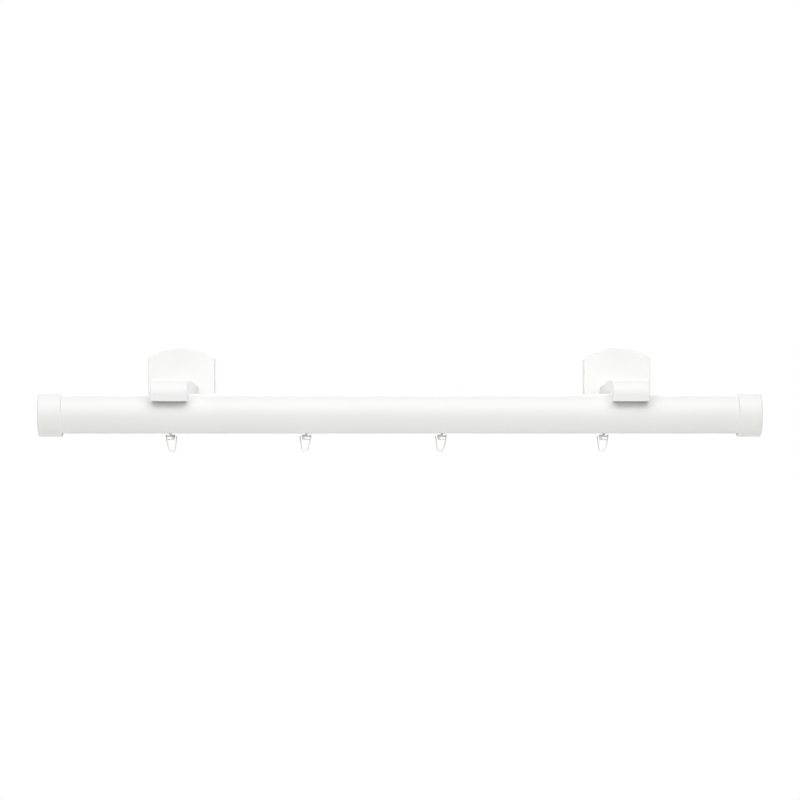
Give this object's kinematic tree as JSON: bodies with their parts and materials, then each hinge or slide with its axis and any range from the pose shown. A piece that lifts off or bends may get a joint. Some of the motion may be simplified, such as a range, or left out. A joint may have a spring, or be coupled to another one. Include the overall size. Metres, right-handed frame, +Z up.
{
  "type": "wooden curtain rod",
  "caption": "Round white wooden curtain rod with a track in its underside, push-on end caps, wooden wall brackets and sliding gliders with pleat hooks.",
  "frame": {"origin": "on the wall plane, midway between the two keyholes and at the height of their entry holes", "axes": "+X along the pole to the right as seen from the room, +Y into the wall, +Z up"},
  "size_m": [0.6258, 0.1755, 0.0923],
  "materials": {
    "painted_wood": "satin white paint",
    "track_white": "white coated",
    "moulded_plastic": "milky white, slightly glossy",
    "zinc_steel": "zinc plated"
  },
  "bodies": {
    "rod": {"pole": "painted_wood", "track": "track_white", "end_cap_left": "painted_wood", "end_cap_right": "painted_wood", "wall_plate_left": "painted_wood", "bracket_arm_left": "painted_wood", "pole_screw_left": "zinc_steel", "arm_screws_left": "zinc_steel", "hanger_plate_left": "zinc_steel", "hanger_screws_left": "zinc_steel", "wall_plate_right": "painted_wood", "bracket_arm_right": "painted_wood", "pole_screw_right": "zinc_steel", "arm_screws_right": "zinc_steel", "hanger_plate_right": "zinc_steel", "hanger_screws_right": "zinc_steel"},
    "glider_1": {"glider_1": "moulded_plastic"},
    "hook_1": {"hook_1": "moulded_plastic"},
    "glider_2": {"glider_2": "moulded_plastic"},
    "hook_2": {"hook_2": "moulded_plastic"},
    "glider_3": {"glider_3": "moulded_plastic"},
    "hook_3": {"hook_3": "moulded_plastic"},
    "glider_4": {"glider_4": "moulded_plastic"},
    "hook_4": {"hook_4": "moulded_plastic"}
  },
  "joints": [
    {"name": "glider_1_slide", "type": "slide", "parent": "rod", "child": "glider_1", "axis": [1, 0, 0], "range_m": [-0.088, 0.052]},
    {"name": "hook_1_swing", "type": "hinge", "parent": "glider_1", "child": "hook_1", "pos_m": [-0.1992, -0.15, -0.055], "axis": [1, 0, 0], "range_deg": [-90, 90]},
    {"name": "glider_2_slide", "type": "slide", "parent": "rod", "child": "glider_2", "axis": [1, 0, 0], "range_m": [-0.052, 0.054]},
    {"name": "hook_2_swing", "type": "hinge", "parent": "glider_2", "child": "hook_2", "pos_m": [-0.0812, -0.15, -0.055], "axis": [1, 0, 0], "range_deg": [-90, 90]},
    {"name": "glider_3_slide", "type": "slide", "parent": "rod", "child": "glider_3", "axis": [1, 0, 0], "range_m": [-0.052, 0.065]},
    {"name": "hook_3_swing", "type": "hinge", "parent": "glider_3", "child": "hook_3", "pos_m": [0.0364, -0.15, -0.055], "axis": [1, 0, 0], "range_deg": [-90, 90]},
    {"name": "glider_4_slide", "type": "slide", "parent": "rod", "child": "glider_4", "axis": [1, 0, 0], "range_m": [-0.063, 0.111]},
    {"name": "hook_4_swing", "type": "hinge", "parent": "glider_4", "child": "hook_4", "pos_m": [0.1768, -0.15, -0.055], "axis": [1, 0, 0], "range_deg": [-90, 90]}
  ]
}
